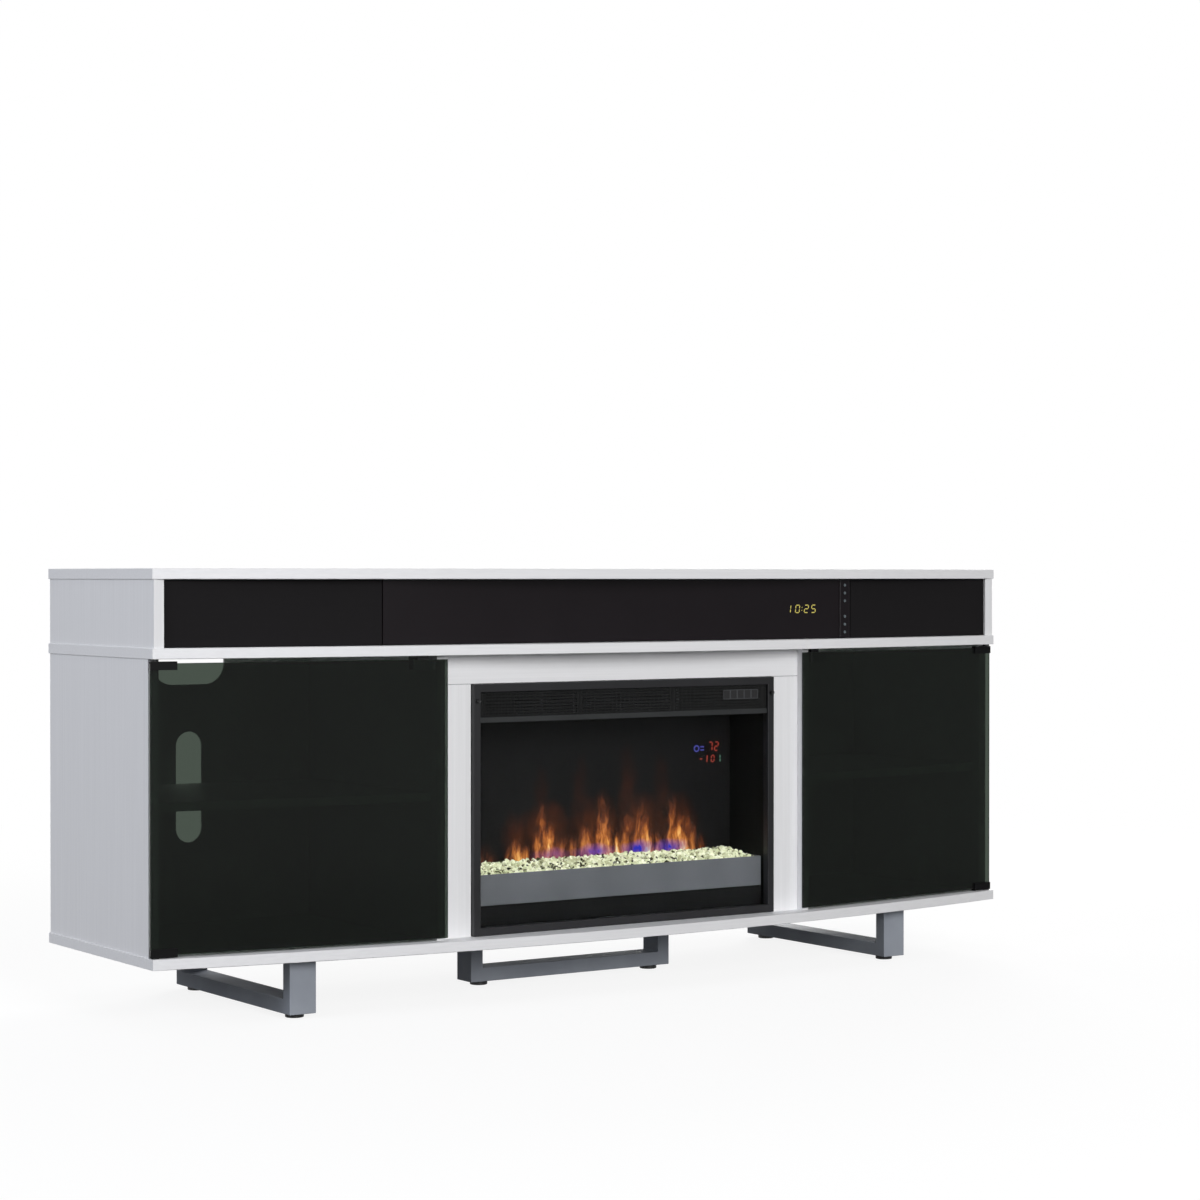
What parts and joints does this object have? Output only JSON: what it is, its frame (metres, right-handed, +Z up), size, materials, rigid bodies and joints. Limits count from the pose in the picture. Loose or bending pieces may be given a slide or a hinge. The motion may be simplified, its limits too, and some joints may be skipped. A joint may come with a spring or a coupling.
{
  "type": "media console with electric fire",
  "caption": "Low bow-fronted media console on steel legs, with smoked glass doors, an electric fire in the middle bay and a soundbar under its top board.",
  "frame": {"origin": "on the floor under the middle of the console's box", "axes": "+X to the right seen from the front, +Y to the back, +Z up; the doors and fire face -Y"},
  "size_m": [1.829, 0.5258, 0.759],
  "materials": {
    "white_laminate": "satin white laminate",
    "white_hardboard": "matt white hardboard",
    "smoked_glass": "smoked, polished",
    "fire_glass": "tinted, polished",
    "flame_screen": "dark frosted",
    "black_metal": "satin black",
    "grey_metal": "satin grey",
    "leg_metal": "satin silver grey",
    "steel": "zinc plated",
    "bright_metal": "bright",
    "black_plastic": "fine matt",
    "face_plastic": "half gloss",
    "grille_cloth": "fine mesh",
    "ember_glass": "crushed, lit from below",
    "beech": "plain",
    "board_green": "plain",
    "enclosure_board": "matt black"
  },
  "bodies": {
    "cabinet": {"top_panel": "white_laminate", "mid_panel": "white_laminate", "bottom_panel": "white_laminate", "upper_sides": "white_laminate", "lower_sides": "white_laminate", "partitions": "white_laminate", "shelves": "white_laminate", "surround_rail": "white_laminate", "surround_stiles": "white_laminate", "back_panels": "white_hardboard", "bay_back_panel": "white_hardboard", "insert_glass": "fire_glass", "flame_screen": "flame_screen", "insert_bezel": "black_metal", "insert_housing": "black_metal", "outlet_grille": "black_metal", "outlet_lip": "grey_metal", "ember_tray": "grey_metal", "leg_left": "leg_metal", "leg_centre": "leg_metal", "leg_right": "leg_metal", "shelf_pins": "steel", "leg_bolts": "steel", "spindle_motor": "steel", "blower_motor": "steel", "blower_scroll": "steel", "heating_element": "steel", "hinge_bushes": "black_plastic", "latch_housings": "black_plastic", "bezel_thumbscrews": "black_plastic", "power_inlet": "black_plastic", "speaker_drivers": "black_plastic", "soundbar_face": "face_plastic", "speaker_grilles": "grille_cloth", "ember_glass": "ember_glass", "joint_dowels": "beech", "circuit_boards": "board_green", "soundbar_enclosure": "enclosure_board"},
    "left_door": {"door_glass_left": "smoked_glass", "hinge_clamps_left": "black_metal", "strike_plate_left": "steel"},
    "right_door": {"door_glass_right": "smoked_glass", "hinge_clamps_right": "black_metal", "strike_plate_right": "steel"},
    "left_latch_plunger": {"latch_plunger_left": "black_plastic"},
    "right_latch_plunger": {"latch_plunger_right": "black_plastic"},
    "flame_spindle": {"flame_spindle": "bright_metal"},
    "blower_wheel": {"blower_wheel": "bright_metal"},
    "left_front_foot": {"foot_left_front": "black_plastic"},
    "left_back_foot": {"foot_left_back": "black_plastic"},
    "centre_left_foot": {"foot_centre_left": "black_plastic"},
    "centre_right_foot": {"foot_centre_right": "black_plastic"},
    "right_front_foot": {"foot_right_front": "black_plastic"},
    "right_back_foot": {"foot_right_back": "black_plastic"},
    "soundbar_button_1": {"soundbar_button_1": "face_plastic"},
    "soundbar_button_2": {"soundbar_button_2": "face_plastic"},
    "soundbar_button_3": {"soundbar_button_3": "face_plastic"},
    "soundbar_button_4": {"soundbar_button_4": "face_plastic"},
    "soundbar_button_5": {"soundbar_button_5": "face_plastic"},
    "soundbar_button_6": {"soundbar_button_6": "face_plastic"}
  },
  "joints": [
    {"name": "left_door_hinge", "type": "hinge", "parent": "cabinet", "child": "left_door", "pos_m": [-0.90525, -0.15473, 0.363], "axis": [0, 0, -1], "range_deg": [0, 100]},
    {"name": "right_door_hinge", "type": "hinge", "parent": "cabinet", "child": "right_door", "pos_m": [0.90525, -0.15473, 0.363], "axis": [0, 0, 1], "range_deg": [0, 100]},
    {"name": "left_latch_slide", "type": "slide", "parent": "cabinet", "child": "left_latch_plunger", "axis": [0.1296, 0.9916, 0], "range_m": [0, 0.0035], "stiffness_N_per_m": 400},
    {"name": "right_latch_slide", "type": "slide", "parent": "cabinet", "child": "right_latch_plunger", "axis": [-0.1296, 0.9916, 0], "range_m": [0, 0.0035], "stiffness_N_per_m": 400},
    {"name": "flame_spindle_turn", "type": "hinge", "parent": "cabinet", "child": "flame_spindle", "pos_m": [0, -0.044, 0.19], "axis": [1, 0, 0], "continuous": true},
    {"name": "blower_wheel_turn", "type": "hinge", "parent": "cabinet", "child": "blower_wheel", "pos_m": [0, -0.09, 0.518], "axis": [1, 0, 0], "continuous": true},
    {"name": "left_front_foot_screw", "type": "slide", "parent": "cabinet", "child": "left_front_foot", "axis": [0, 0, -1], "range_m": [0, 0.01]},
    {"name": "left_back_foot_screw", "type": "slide", "parent": "cabinet", "child": "left_back_foot", "axis": [0, 0, -1], "range_m": [0, 0.01]},
    {"name": "centre_left_foot_screw", "type": "slide", "parent": "cabinet", "child": "centre_left_foot", "axis": [0, 0, -1], "range_m": [0, 0.01]},
    {"name": "centre_right_foot_screw", "type": "slide", "parent": "cabinet", "child": "centre_right_foot", "axis": [0, 0, -1], "range_m": [0, 0.01]},
    {"name": "right_front_foot_screw", "type": "slide", "parent": "cabinet", "child": "right_front_foot", "axis": [0, 0, -1], "range_m": [0, 0.01]},
    {"name": "right_back_foot_screw", "type": "slide", "parent": "cabinet", "child": "right_back_foot", "axis": [0, 0, -1], "range_m": [0, 0.01]},
    {"name": "soundbar_button_1_press", "type": "slide", "parent": "cabinet", "child": "soundbar_button_1", "axis": [0, 1, 0], "range_m": [0, 0.0008], "stiffness_N_per_m": 1000},
    {"name": "soundbar_button_2_press", "type": "slide", "parent": "cabinet", "child": "soundbar_button_2", "axis": [0, 1, 0], "range_m": [0, 0.0008], "stiffness_N_per_m": 1000},
    {"name": "soundbar_button_3_press", "type": "slide", "parent": "cabinet", "child": "soundbar_button_3", "axis": [0, 1, 0], "range_m": [0, 0.0008], "stiffness_N_per_m": 1000},
    {"name": "soundbar_button_4_press", "type": "slide", "parent": "cabinet", "child": "soundbar_button_4", "axis": [0, 1, 0], "range_m": [0, 0.0008], "stiffness_N_per_m": 1000},
    {"name": "soundbar_button_5_press", "type": "slide", "parent": "cabinet", "child": "soundbar_button_5", "axis": [0, 1, 0], "range_m": [0, 0.0008], "stiffness_N_per_m": 1000},
    {"name": "soundbar_button_6_press", "type": "slide", "parent": "cabinet", "child": "soundbar_button_6", "axis": [0, 1, 0], "range_m": [0, 0.0008], "stiffness_N_per_m": 1000}
  ]
}
